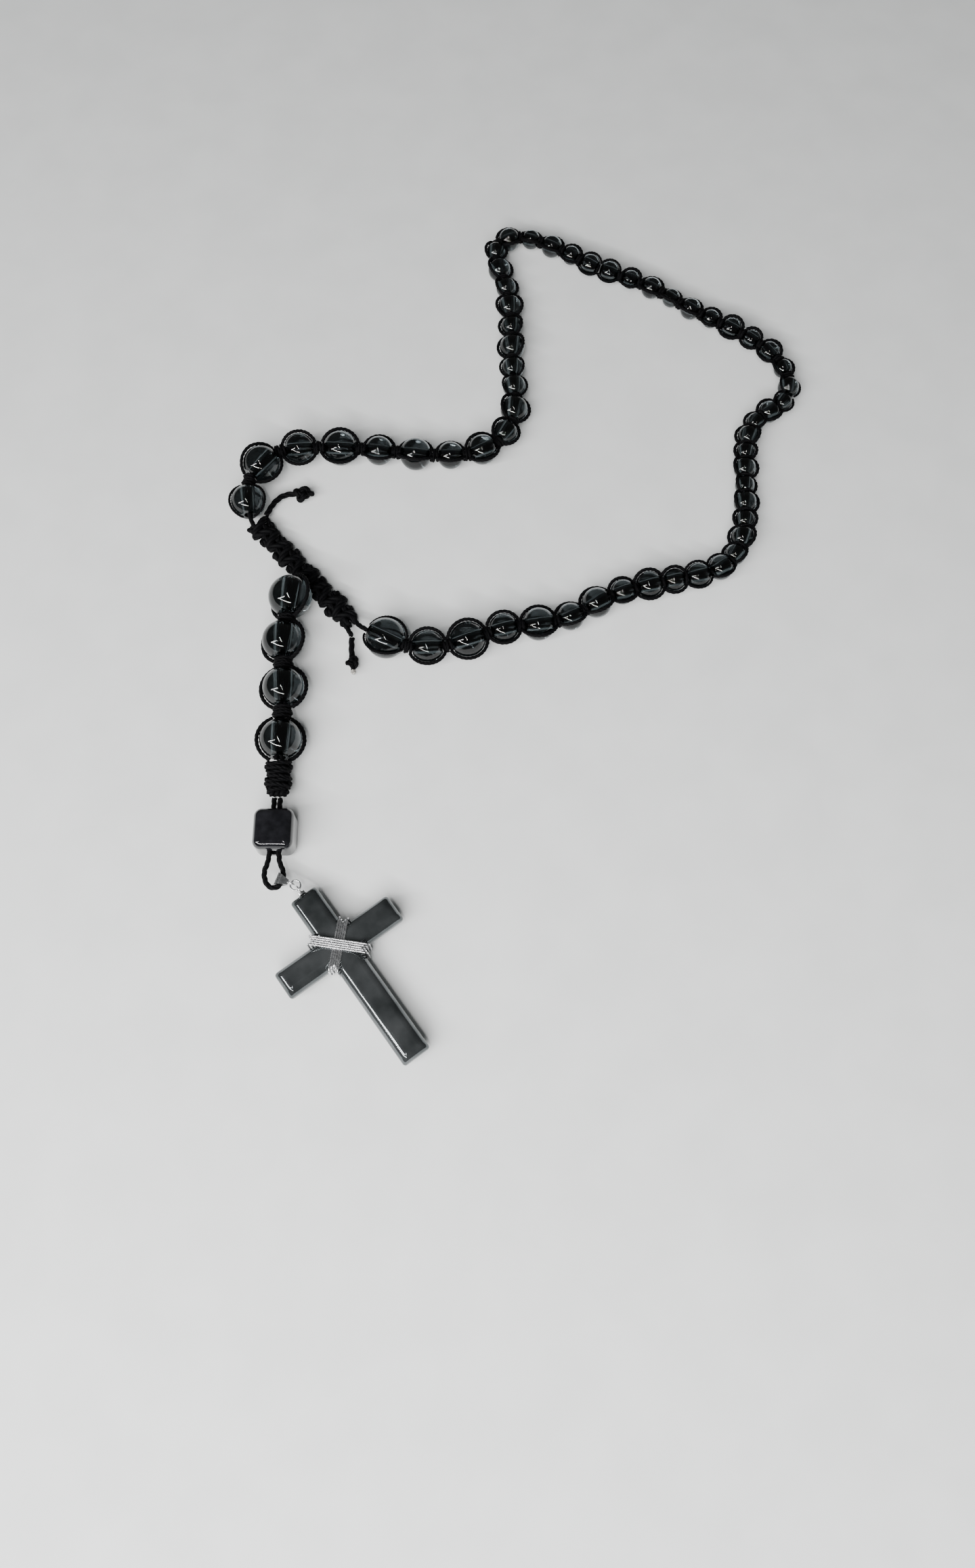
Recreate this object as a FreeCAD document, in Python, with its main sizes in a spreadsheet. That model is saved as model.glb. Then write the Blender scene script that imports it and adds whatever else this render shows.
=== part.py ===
import FreeCAD, Part
import math
import os

# A five decade knotted rosary: a closed strand of smoky glass beads on a black braided cord,
# a sliding square knot closure, and a drop of four beads, a cuboid bead and a cross.
# It lies flat: +Z is up, the resting surface is z = 0, and the origin is the middle of the
# footprint. Lengths are millimetres.

Vector = FreeCAD.Vector
UP = Vector(0, 0, 1)

DIMENSIONS = {
    "cord_dia": 1.5,
    "side_cord_dia": 0.9,
    "bead_bore": 2.5,
    "far_bead_dia": 6.3,
    "bead_growth": 4.9,
    "growth_power": 3.0,
    "smallest_bead": 33,
    "small_ratio": 0.87,
    "bead_face_angle": 62,
    "pair_gap": 0.85,
    "first_station": 49.3,
    "hinge_one_station": 163.4,
    "hinge_two_station": 250.9,
    "hinge_three_station": 328.2,
    "hinge_four_station": 398.8,
    "last_station": 499.3,
    "side_cord_gap": 0.06,
    "side_lift": 18,
    "side_lift_swing": 22,
    "knot_dia": 3.4,
    "least_knot_gap": 0.9,
    "cord_break": 0.12,
    "hinge_room": 0.35,
    "closure_width": 7.4,
    "closure_height": 4.8,
    "closure_knot_pitch": 3.1,
    "tail_knot_dia": 4.4,
    "drop_bead_dia": 11.3,
    "first_drop_bead_dia": 12.0,
    "drop_bore": 3.5,
    "drop_knot_dia": 5.6,
    "block_width": 7.4,
    "block_height": 5.6,
    "block_foot_width": 6.0,
    "cuboid_width": 10.4,
    "cuboid_length": 11.0,
    "cuboid_height": 9.6,
    "cuboid_round": 2.2,
    "cuboid_bore": 3.5,
    "cross_length": 50.2,
    "cross_span": 34.0,
    "cross_arm_width": 7.7,
    "cross_thick": 5.6,
    "cross_bevel": 1.5,
    "cross_bar_drop": 16.6,
    "wire_dia": 0.5,
    "bail_length": 4.0,
    "bail_width": 3.6,
    "bail_tip_width": 1.3,
    "bail_wall": 0.4,
    "ring_dia": 2.6,
    "ring_wire": 0.5,
    "eye_dia": 1.6,
    "peg_reach": 2.0,
    "peg_depth": 4.0,
    "peg_shank_dia": 0.9,
    "peg_hole_dia": 1.0,
    "peg_cap_dia": 2.6,
    "peg_cap_thick": 0.7,
    "wire_corner": 0.9,
    "wire_spacing": 0.54,
    "wire_clearance": 0.07,
    "bead_seat_room": 0.3,
    "shift_x": -0.36,
    "shift_y": -0.768,
}

# The strand as it lies, from the lower cord exit of the closure, through the closure, once
# round the loop, back through the closure to its upper exit.
STRAND_ROUTE = [
    (-46.4, -13.2, 2.4), (-46.9, -10.0, 2.4), (-73.8, 20.0, 2.4), (-76.6, 22.4, 4.5),
    (-78.6, 35.0, 5.1), (-72.4, 45.4, 5.5), (-60.0, 47.2, 5.3), (-46.5, 46.9, 5.0),
    (-34.5, 45.6, 4.8), (-23.0, 44.6, 4.6), (-12.5, 45.4, 4.4), (-5.0, 50.4, 4.3),
    (-1.4, 57.6, 4.2), (-0.6, 65.6, 4.1), (-1.7, 77.0, 3.9), (-1.4, 88.0, 3.7),
    (-2.2, 100.0, 3.6), (-3.4, 109.0, 3.5), (-7.2, 119.5, 3.5), (-5.2, 125.6, 3.4),
    (1.2, 127.6, 3.4), (9.0, 124.8, 3.4), (16.0, 121.0, 3.3), (24.0, 115.4, 3.3),
    (34.0, 111.4, 3.3), (43.5, 106.5, 3.3), (54.0, 98.6, 3.3), (66.5, 91.2, 3.3),
    (75.0, 85.0, 3.3), (80.2, 77.5, 3.3), (81.6, 69.5, 3.3), (79.0, 63.6, 3.4),
    (73.4, 60.6, 3.4), (68.8, 56.2, 3.4), (66.6, 48.5, 3.5), (65.5, 38.5, 3.6),
    (64.9, 26.0, 3.7), (63.2, 15.5, 3.8), (58.5, 8.6, 3.9), (51.0, 5.4, 4.0),
    (42.5, 3.9, 4.2), (31.0, 1.0, 4.3), (22.5, -2.2, 4.5), (15.5, -7.6, 4.6),
    (7.0, -10.2, 4.8), (-3.0, -11.0, 5.0), (-8.5, -12.8, 5.1), (-19.0, -17.0, 5.3),
    (-31.0, -18.2, 5.6), (-43.3, -11.4, 4.8), (-45.6, -8.4, 2.4), (-73.3, 24.3, 2.4),
    (-72.6, 26.0, 2.4),
]
UPPER_TAIL = [
    (-72.6, 26.0, 2.4), (-71.9, 27.8, 2.3), (-70.2, 31.2, 2.1), (-67.2, 33.6, 2.0),
    (-62.8, 33.5, 2.1),
]
LOWER_TAIL = [(-46.4, -13.2, 2.4), (-46.6, -16.0, 2.3), (-46.0, -20.6, 2.3)]
CLOSURE_ENDS = [(-75.0, 23.0, 2.4), (-46.1, -9.2, 2.4)]

# The drop hangs from the middle of the closure on two cords side by side. Its pivots are the
# knots where it bends: above each bead, and below the large knot.
DROP_BEADS = [(-63.4, -2.7, 6.6), (-64.8, -15.7, 5.7), (-63.8, -29.8, 5.7), (-63.7, -44.8, 5.7)]
DROP_PIVOTS = [
    (-63.1, 3.6, 6.4), (-64.0, -9.2, 6.1), (-64.3, -22.8, 5.7), (-63.7, -37.3, 5.7),
    (-63.7, -60.6, 4.6),
]
BLOCK_TOP = (-63.9, -50.6, 5.1)
CUBOID_CENTRE = (-63.75, -70.2, 4.8)
LOOP_CORD = [
    (-64.51, -60.9, 4.6), (-64.51, -77.0, 4.75), (-66.3, -81.0, 4.3), (-64.9, -84.8, 4.1),
    (-61.9, -84.8, 4.0), (-60.6, -81.0, 4.2), (-62.99, -77.0, 4.75), (-62.99, -60.9, 4.6),
]
BAIL_PIVOT = (-61.3, -82.9, 4.0)
BAIL_ANGLE = -22.0
CROSS_ANGLE = -53.5

# Beads in each stretch of the loop between two hinges, whether its first bead is large, and the
# power by which its knots lengthen towards the closure. The stretches meet between two beads
# that touch, with no knot, and mark the decades.
DECADES = [(11, False, 2.6), (12, False, 0), (11, True, 0), (12, False, 0), (11, True, 2.6)]

doc = FreeCAD.newDocument("rosary")
dims = doc.addObject("Spreadsheet::Sheet", "dims")


def fill_sheet():
    for row, (name, value) in enumerate(DIMENSIONS.items(), start=1):
        dims.set(f"A{row}", name)
        dims.set(f"B{row}", str(value))
        dims.setAlias(f"B{row}", name)
    doc.recompute()


def size(name):
    return float(dims.get(name))


def at(place):
    """A place of the layout, in the part's own frame."""
    return Vector(place[0] + size("shift_x"), place[1] + size("shift_y"), place[2])


def unit(vector):
    return vector / vector.Length


def heading(angle):
    """A level direction, by its angle from +X in degrees."""
    return Vector(math.cos(math.radians(angle)), math.sin(math.radians(angle)), 0)


def frame_along(place, axis):
    """A placement whose Z runs along axis and whose X stays level."""
    level = unit(axis.cross(UP))
    return FreeCAD.Placement(place, FreeCAD.Rotation(level, axis.cross(level), axis, "ZXY"))


def rounded_edges(points):
    """Straight runs joined by tangent arcs, each as large as its two runs allow."""
    edges = []
    radii = []
    here = points[0]
    for before, corner, after in zip(points, points[1:], points[2:]):
        arrive = unit(corner - before)
        leave = unit(after - corner)
        reach = 0.45 * min((corner - before).Length, (after - corner).Length)
        half_turn = arrive.getAngle(leave) / 2
        radius = reach / math.tan(half_turn)
        start = corner - arrive * reach
        finish = corner + leave * reach
        middle = corner + unit(leave - arrive) * (radius / math.cos(half_turn) - radius)
        edges.append(Part.LineSegment(here, start).toShape())
        edges.append(Part.Arc(start, middle, finish).toShape())
        radii.append(radius)
        here = finish
    edges.append(Part.LineSegment(here, points[-1]).toShape())
    return edges, radii


class Strand:
    """A rounded route that is measured by the length along it."""

    def __init__(self, places):
        self.edges, self.radii = rounded_edges([at(place) for place in places])
        self.length = sum(edge.Length for edge in self.edges)

    def pieces(self, start, finish):
        """The edges between two stations."""
        found = []
        base = 0.0
        for edge in self.edges:
            low = max(start - base, 0.0)
            high = min(finish - base, edge.Length)
            if high - low > 1e-4:
                low_value = edge.getParameterByLength(low)
                high_value = edge.getParameterByLength(high)
                found.append(edge.Curve.toShape(low_value, high_value))
            base += edge.Length
        return found

    def point(self, station):
        base = 0.0
        for edge in self.edges:
            if station <= base + edge.Length:
                return edge.valueAt(edge.getParameterByLength(station - base))
            base += edge.Length
        return self.edges[-1].valueAt(self.edges[-1].LastParameter)

    def tube(self, start, finish, diameter):
        return swept(self.pieces(start, finish), diameter)


def swept(edges, diameter):
    """A round cord swept along joined edges."""
    first = edges[0]
    start = first.valueAt(first.FirstParameter)
    along = first.tangentAt(first.FirstParameter)
    ring = Part.Wire([Part.makeCircle(diameter / 2, start, along)])
    cord = Part.Wire(edges).makePipeShell([ring], True, False)
    wanted = math.pi * diameter ** 2 / 4 * sum(edge.Length for edge in edges)
    if abs(cord.Volume / wanted - 1) > 0.01:
        raise ValueError(f"cord volume {cord.Volume:.1f} against {wanted:.1f}")
    return cord


def add_shape(label, shape):
    """A piece of knotted or swept cord, which no parametric primitive fits."""
    piece = doc.addObject("Part::Feature", label)
    piece.Label = label
    piece.Shape = shape
    piece.Placement = shape.Placement
    return piece


class Bead:
    """Where one loop bead sits on the strand, and how large it is."""

    def __init__(self, number, count, large, decade):
        self.number = number
        self.decade = decade
        smallest = size("smallest_bead") - 1
        run = smallest if number < smallest else count - 1 - smallest
        self.towards_end = abs(number - smallest) / run
        self.ratio = "1" if large else "dims.small_ratio"
        growth = size("bead_growth") * self.towards_end ** size("growth_power")
        ratio = 1.0 if large else size("small_ratio")
        self.diameter = (size("far_bead_dia") + growth) * ratio
        self.thickness = self.diameter * math.sin(math.radians(size("bead_face_angle")))
        self.gap = 0.0

    def diameter_expression(self):
        growth = f"dims.bead_growth * {self.towards_end:.5f} ^ dims.growth_power"
        return f"(dims.far_bead_dia + {growth}) * {self.ratio}"

    def settle(self, strand, station):
        """Sits the bead on the strand, resting on the surface or held just above it."""
        before = strand.point(station - self.thickness / 2)
        after = strand.point(station + self.thickness / 2)
        self.axis = unit(after - before)
        middle = ((before + after) / 2 + strand.point(station)) / 2
        self.centre = Vector(middle.x, middle.y, max(middle.z, self.diameter / 2))


def loop_beads(strand):
    """All beads of the loop, spread evenly between the ends of their own stretch."""
    ends = [
        size("first_station"), size("hinge_one_station"), size("hinge_two_station"),
        size("hinge_three_station"), size("hinge_four_station"), size("last_station"),
    ]
    count = sum(decade[0] for decade in DECADES)
    beads = []
    for decade, (number_here, first_large, power) in enumerate(DECADES):
        group = []
        for index in range(number_here):
            large = (index % 2 == 0) == first_large
            group.append(Bead(len(beads) + index, count, large, decade))
        room = ends[decade + 1] - ends[decade] - size("pair_gap")
        weights = [
            ((first.towards_end + second.towards_end) / 2) ** power
            for first, second in zip(group, group[1:])
        ]
        spare = room - sum(bead.thickness for bead in group)
        station = ends[decade] + size("pair_gap") / 2
        for bead, weight in zip(group, weights + [0]):
            bead.gap = spare * weight / sum(weights)
            bead.settle(strand, station + bead.thickness / 2)
            station += bead.thickness + bead.gap
        beads.extend(group)
    return beads, ends


def add_bead(label, radius, bore, place):
    """A glass ball with a flat face at each end of its bore, at a placement along the bore."""
    ball = doc.addObject("Part::Sphere", label + "_ball")
    ball.setExpression("Radius", radius)
    ball.setExpression("Angle1", "-dims.bead_face_angle")
    ball.setExpression("Angle2", "dims.bead_face_angle")
    hole = doc.addObject("Part::Cylinder", label + "_hole")
    hole.setExpression("Radius", f"{bore} / 2")
    hole.setExpression("Height", f"2 * ({radius})")
    hole.setExpression("Placement.Base.z", f"-({radius})")
    bead = doc.addObject("Part::Cut", label)
    bead.Base = ball
    bead.Tool = hole
    bead.Placement = place
    return bead


def add_loop_beads(beads):
    """The loop beads, two neighbours of one decade to a node, the odd last one alone."""
    nodes = []
    waiting = []
    for bead in beads:
        place = frame_along(bead.centre, bead.axis)
        radius = f"({bead.diameter_expression()}) / 2"
        waiting.append(add_bead(f"bead_{bead.number + 1:02d}", radius, "dims.bead_bore", place))
        last_of_decade = bead is beads[-1] or beads[bead.number + 1].decade != bead.decade
        if len(waiting) == 2 or last_of_decade:
            first = bead.number + 2 - len(waiting)
            numbers = "_".join(f"{first + k:02d}" for k in range(len(waiting)))
            group = doc.addObject("Part::Compound", "loop_beads_" + numbers)
            group.Label = f"decade_{bead.decade + 1}_beads_{numbers}"
            group.Links = waiting
            nodes.append(group)
            waiting = []
    return nodes


def side_arc(centre, axis, out, bead_radius, clear_angle):
    """One side cord bent round a bead, in the plane of the bore axis and out."""
    ring = bead_radius + size("side_cord_gap") + size("side_cord_dia") / 2
    edge = math.radians(clear_angle)
    ends = [
        centre + axis * (ring * math.cos(angle)) + out * (ring * math.sin(angle))
        for angle in (math.pi - edge, math.pi / 2, edge)
    ]
    return swept([Part.Arc(*ends).toShape()], size("side_cord_dia"))


def side_cords(bead, gap):
    """The two side cords of a bead, one over each side, both bent a little over its top."""
    level = unit(UP.cross(bead.axis))
    over = bead.axis.cross(level)
    arcs = []
    for side in (1, -1):
        swing = size("side_lift_swing") * math.sin(0.9 * bead.number) * side
        lift = math.radians(size("side_lift") + swing)
        out = level * (side * math.cos(lift)) + over * math.sin(lift)
        arcs.append(side_arc(bead.centre, bead.axis, out, bead.diameter / 2, arc_end_angle(bead, gap)))
    return arcs


def arc_end_angle(bead, gap):
    """How far from the bore axis a side cord dives into the knot, or meets its neighbour."""
    ring = bead.diameter / 2 + size("side_cord_gap") + size("side_cord_dia") / 2
    in_knot = math.degrees(math.asin(0.44 * size("knot_dia") / ring))
    half_pitch = bead.thickness / 2 + gap / 2
    meeting = math.degrees(math.acos(min(half_pitch / ring, 1.0)))
    return max(in_knot, meeting)


def knot_between(first, second):
    """A square knot on the core cord that fills the gap between two beads."""
    start = first.centre + first.axis * (first.thickness / 2)
    finish = second.centre - second.axis * (second.thickness / 2)
    axis = unit(finish - start)
    length = (finish - start).Length - 2 * size("side_cord_gap")
    radius = size("knot_dia") / 2
    return Part.makeCylinder(radius, length, start + axis * size("side_cord_gap"), axis)


def past_hinge(strand, station, forward):
    """The space past a hinge of the strand, with room for the hinge to turn."""
    here = strand.point(station)
    along = unit(strand.point(station + 0.5 * forward) - here)
    return Part.makeCylinder(6, 6, here - along * size("hinge_room"), along)


def macrame(strand, beads, decade, core, start, finish):
    """The side cords and knots of one decade, clear of its beads and its core cord."""
    group = [bead for bead in beads if bead.decade == decade]
    work = []
    for before, bead in zip([group[1]] + group, group):
        work += side_cords(bead, min(before.gap, bead.gap or before.gap))
    for first, second in zip(group, group[1:]):
        if first.gap > size("least_knot_gap"):
            work.append(knot_between(first, second))
    tied = work[0].multiFuse(work[1:])
    clear = []
    for bead in beads:
        if abs(bead.decade - decade) <= 1:
            radius = bead.diameter / 2 + size("side_cord_gap") / 2
            clear.append(Part.makeSphere(radius, bead.centre))
    clear.append(core)
    if decade > 0:
        clear.append(past_hinge(strand, start, -1))
    if decade < len(DECADES) - 1:
        clear.append(past_hinge(strand, finish, 1))
    return tied.cut(clear)


def core_stretches(strand, ends):
    """The core cord, parted at the four hinges so that each stretch turns with its decade."""
    half = size("cord_break") / 2
    cuts = [half] + ends[1:5] + [strand.length - half]
    return [(cuts[k] + half, cuts[k + 1] - half) for k in range(5)]


def lump(place, axis, width, length, height):
    """One pulled-tight knot: a block with well rounded edges, its length along axis."""
    block = Part.makeBox(width, height, length, Vector(-width / 2, -height / 2, -length / 2))
    block = block.makeFillet(0.4 * min(width, length, height), block.Edges)
    block.Placement = frame_along(place, axis)
    return block


def closure_work(covers):
    """The sliding square knots of the closure: a flat bar with scalloped edges on two cords."""
    start, finish = (at(place) for place in CLOSURE_ENDS)
    axis = unit(finish - start)
    length = (finish - start).Length
    width = size("closure_width")
    height = size("closure_height")
    edge = 0.26 * width
    bar = Part.makeBox(0.8 * width, 0.84 * height, length, Vector(-0.4 * width, -0.42 * height, 0))
    work = [bar]
    pitch = size("closure_knot_pitch")
    for index in range(int(length / pitch)):
        for side, phase in ((1, 0.3), (-1, 0.8)):
            along = (index + phase) * pitch + 0.5
            foot = Vector(side * (width / 2 - edge), -height / 2, along)
            work.append(Part.makeCylinder(edge, height, foot, Vector(0, 1, 0)))
    tied = work[0].multiFuse(work[1:])
    tied.Placement = frame_along(start, axis)
    seat_radius = size("first_drop_bead_dia") / 2 + size("bead_seat_room")
    bead_seat = Part.makeSphere(seat_radius, at(DROP_BEADS[0]))
    return tied.cut(covers + [bead_seat])


def free_route(label, places):
    """The edges of a rounded route, after its length and its bend radii are printed."""
    edges, radii = rounded_edges([at(place) for place in places])
    length = sum(edge.Length for edge in edges)
    print(label, "length", round(length, 1), "radii", [round(radius, 1) for radius in radii])
    return edges


def tail(label, places):
    """A free cord end with its stop knot and a short stub past the knot."""
    edges = free_route(label, places)
    start = edges[0].firstVertex().Point
    heading_in = unit(edges[0].tangentAt(edges[0].FirstParameter))
    cord = swept(edges, size("cord_dia"))
    stop = at(places[-1])
    along = unit(stop - at(places[-2]))
    width = size("tail_knot_dia")
    knot = lump(stop, along, width, 0.9 * width, 0.85 * width)
    collar = lump(stop - along * (0.3 * width), along, 0.8 * width, 0.4 * width, 0.8 * width)
    stub = Part.makeCylinder(0.4 * size("cord_dia"), 0.8 * width, stop, along)
    gap = Part.makeCylinder(size("cord_dia"), size("cord_break") / 2, start, heading_in)
    return cord.multiFuse([knot, collar, stub]).cut(gap)


def pair_of_cords(start, finish, diameter):
    """Two straight cords side by side."""
    axis = unit(finish - start)
    level = unit(axis.cross(UP)) * (0.51 * size("cord_dia"))
    length = (finish - start).Length
    return [
        Part.makeCylinder(diameter / 2, length, start + level * side, axis)
        for side in (-1, 1)
    ]


def drop_cord_work(index):
    """The two core cords through one drop bead, its side cords, and the knot below it."""
    bead = at(DROP_BEADS[index])
    top = at(DROP_PIVOTS[index])
    foot = at(DROP_PIVOTS[index + 1]) if index < 3 else at(BLOCK_TOP)
    axis = unit(foot - top)
    diameter = size("first_drop_bead_dia" if index == 0 else "drop_bead_dia")
    half = diameter / 2 * math.sin(math.radians(size("bead_face_angle")))
    knot_room = 2 * ((foot - bead).Length - half) if index < 3 else 2.4
    knot_length = 0.72 * knot_room
    width = size("drop_knot_dia")
    work = [lump(foot, axis, width, knot_length, 0.85 * width)] if index < 3 else []
    turn = 35 - 14 * index
    out = FreeCAD.Rotation(axis, turn).multVec(unit(UP.cross(axis)))
    ring = diameter / 2 + size("side_cord_gap") + size("side_cord_dia") / 2
    end = math.degrees(math.asin(0.36 * width / ring))
    for side in (out, out * -1):
        work.append(side_arc(bead, axis, side, diameter / 2, end))
    start = bead - axis * (half + 0.1)
    work += pair_of_cords(start, foot, size("cord_dia"))
    upper_half = Part.makeSphere(0.62 * width, top)
    clear = Part.makeSphere(diameter / 2 + size("side_cord_gap") / 2, bead)
    bore = Part.makeCylinder(size("drop_bore") / 2 - 0.1, 2 * half + 0.6, bead - axis * (half + 0.3), axis)
    tied = work[0].multiFuse(work[1:])
    clear = [upper_half, clear.cut(bore)]
    if index == 3:
        clear.append(Part.makeCylinder(width, width, foot - axis * 0.4, axis))
    return tied.cut(clear)


def large_knot():
    """The stack of knots below the last drop bead, narrower at its foot."""
    top = at(BLOCK_TOP)
    foot = at(DROP_PIVOTS[4])
    axis = unit(foot - top)
    length = (foot - top).Length - 0.3
    count = 4
    ridges = []
    for index in range(count):
        width = size("block_width") if index < 3 else size("block_foot_width")
        place = top + axis * (length * (index + 0.5) / count + 0.1)
        ridges.append(lump(place, axis, width, 1.2 * length / count, size("block_height")))
    return ridges[0].multiFuse(ridges[1:])


def loop_cord():
    """The cord that goes down through the cuboid, round the end loop and back up."""
    return swept(free_route("end_loop_cord", LOOP_CORD), size("cord_dia"))


def add_cuboid():
    """A square bead with soft corners, its bore along the drop."""
    block = doc.addObject("Part::Box", "cuboid_block")
    block.setExpression("Length", "dims.cuboid_width")
    block.setExpression("Width", "dims.cuboid_height")
    block.setExpression("Height", "dims.cuboid_length")
    block.setExpression("Placement.Base.x", "-dims.cuboid_width / 2")
    block.setExpression("Placement.Base.y", "-dims.cuboid_height / 2")
    block.setExpression("Placement.Base.z", "-dims.cuboid_length / 2")
    doc.recompute()
    soft = doc.addObject("Part::Fillet", "cuboid_soft")
    soft.Base = block
    soft.Edges = [(k + 1, size("cuboid_round"), size("cuboid_round")) for k in range(12)]
    hole = doc.addObject("Part::Cylinder", "cuboid_hole")
    hole.setExpression("Radius", "dims.cuboid_bore / 2")
    hole.setExpression("Height", "2 * dims.cuboid_length")
    hole.setExpression("Placement.Base.z", "-dims.cuboid_length")
    bead = doc.addObject("Part::Cut", "cuboid_bead")
    bead.Base = soft
    bead.Tool = hole
    bead.Placement = frame_along(at(CUBOID_CENTRE), Vector(0, -1, 0))
    return bead


def bail_frame():
    """The bail's own frame: X towards the ring, Y along the cord that it turns on."""
    before, after = (at(place) for place in LOOP_CORD[4:6])
    hinge = unit(after - before)
    forward = heading(BAIL_ANGLE)
    forward = unit(forward - hinge * forward.dot(hinge))
    turn = FreeCAD.Rotation(forward, hinge, forward.cross(hinge), "XYZ")
    return FreeCAD.Placement(at(BAIL_PIVOT), turn)


def bail():
    """A tapered strip folded round the end loop, with an eye at its narrow tip."""
    wall = size("bail_wall")
    inner = size("cord_dia") / 2 + 0.45
    back = -0.2
    tip = size("bail_length") + back - inner - wall - size("wire_dia")
    outlines = []
    for radius, nose in ((inner + wall, wall), (inner, 0.05)):
        top = Part.LineSegment(Vector(back, 0, radius), Vector(tip, 0, nose)).toShape()
        end = Part.LineSegment(Vector(tip, 0, nose), Vector(tip, 0, -nose)).toShape()
        low = Part.LineSegment(Vector(tip, 0, -nose), Vector(back, 0, -radius)).toShape()
        fold = Part.Arc(Vector(back, 0, -radius), Vector(back - radius, 0, 0), Vector(back, 0, radius))
        face = Part.Face(Part.Wire([top, end, low, fold.toShape()]))
        face.translate(Vector(0, -size("bail_width"), 0))
        outlines.append(face.extrude(Vector(0, 2 * size("bail_width"), 0)))
    strip = outlines[0].cut(outlines[1])
    wide = size("bail_width") / 2
    narrow = size("bail_tip_width") / 2
    rear = back - inner - wall - 0.1
    plan = Part.makePolygon([
        Vector(rear, -wide, -5), Vector(tip, -narrow, -5), Vector(tip, narrow, -5),
        Vector(rear, wide, -5), Vector(rear, -wide, -5),
    ])
    strip = strip.common(Part.Face(plan).extrude(Vector(0, 0, 10)))
    eye_place = Vector(tip + size("eye_dia") / 2 - 0.1, 0, 0)
    eye = Part.makeTorus(size("eye_dia") / 2, size("wire_dia") / 2, eye_place, Vector(0, 1, 0))
    return strip.fuse(eye), eye_place


def level_ring_centre(eye_centre):
    """The ring lies level, threaded through the bail's eye on its near side."""
    return eye_centre + heading(BAIL_ANGLE) * (size("ring_dia") / 2)


def add_ring(centre):
    ring = doc.addObject("Part::Torus", "link_ring")
    ring.setExpression("Radius1", "dims.ring_dia / 2")
    ring.setExpression("Radius2", "dims.ring_wire / 2")
    ring.Placement = FreeCAD.Placement(centre, FreeCAD.Rotation())
    return ring


def cross_frame(peg_eye):
    """The cross's own frame: X along its long arm from the peg, Y along the bar, Z up."""
    return FreeCAD.Placement(peg_eye, FreeCAD.Rotation(UP, CROSS_ANGLE))


def across_x(place_x):
    """A placement at a point of the X axis whose own Z runs along X."""
    return FreeCAD.Placement(Vector(place_x, 0, 0), FreeCAD.Rotation(Vector(0, 1, 0), 90))


def add_peg(frame):
    """The wire eye, its shank and the round cap that close the top of the cross."""
    eye = doc.addObject("Part::Torus", "peg_eye")
    eye.setExpression("Radius1", "dims.eye_dia / 2")
    eye.setExpression("Radius2", "dims.wire_dia / 2")
    eye.Placement = FreeCAD.Placement(Vector(), FreeCAD.Rotation(Vector(1, 0, 0), 90))
    shank = doc.addObject("Part::Cylinder", "peg_shank")
    shank.setExpression("Radius", "dims.peg_shank_dia / 2")
    shank.setExpression("Height", "dims.peg_reach + dims.peg_depth - dims.peg_shank_dia")
    shank.Placement = across_x(size("peg_shank_dia"))
    cap = doc.addObject("Part::Cylinder", "peg_cap")
    cap.setExpression("Radius", "dims.peg_cap_dia / 2")
    cap.setExpression("Height", "dims.peg_cap_thick")
    cap.Placement = across_x(size("peg_reach") - size("peg_cap_thick") - 0.02)
    peg = doc.addObject("Part::MultiFuse", "cross_peg")
    peg.Shapes = [eye, shank, cap]
    peg.Placement = frame
    return peg


def add_arm(name, length, place_x):
    """One bar of the cross, before its edges are bevelled."""
    arm = doc.addObject("Part::Box", name)
    along_x = name == "long_arm"
    arm.setExpression("Length" if along_x else "Width", length)
    arm.setExpression("Width" if along_x else "Length", "dims.cross_arm_width")
    arm.setExpression("Height", "dims.cross_thick")
    across = "dims.cross_arm_width" if along_x else length
    arm.setExpression("Placement.Base.x", place_x)
    arm.setExpression("Placement.Base.y", f"-({across}) / 2")
    arm.setExpression("Placement.Base.z", "-dims.cross_thick / 2")
    return arm


def add_cross(frame):
    """A plain Latin cross with a wide bevel round both faces, drilled for the peg."""
    long_arm = add_arm("long_arm", "dims.cross_length", "dims.peg_reach")
    bar_start = "dims.peg_reach + dims.cross_bar_drop - dims.cross_arm_width / 2"
    bar = add_arm("cross_bar", "dims.cross_span", bar_start)
    joined = doc.addObject("Part::Fuse", "cross_joined")
    joined.Base = long_arm
    joined.Tool = bar
    joined.Refine = True
    doc.recompute()
    level = []
    for number, edge in enumerate(joined.Shape.Edges, start=1):
        heights = [vertex.Z for vertex in edge.Vertexes]
        if max(heights) - min(heights) < 1e-6:
            level.append((number, size("cross_bevel"), size("cross_bevel")))
    bevelled = doc.addObject("Part::Chamfer", "cross_bevelled")
    bevelled.Base = joined
    bevelled.Edges = level
    hole = doc.addObject("Part::Cylinder", "cross_hole")
    hole.setExpression("Radius", "dims.peg_hole_dia / 2")
    hole.setExpression("Height", "dims.peg_depth + 0.3")
    hole.Placement = across_x(size("peg_reach") - 0.1)
    cross = doc.addObject("Part::Cut", "cross_body")
    cross.Base = bevelled
    cross.Tool = hole
    cross.Placement = frame
    return cross


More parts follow.
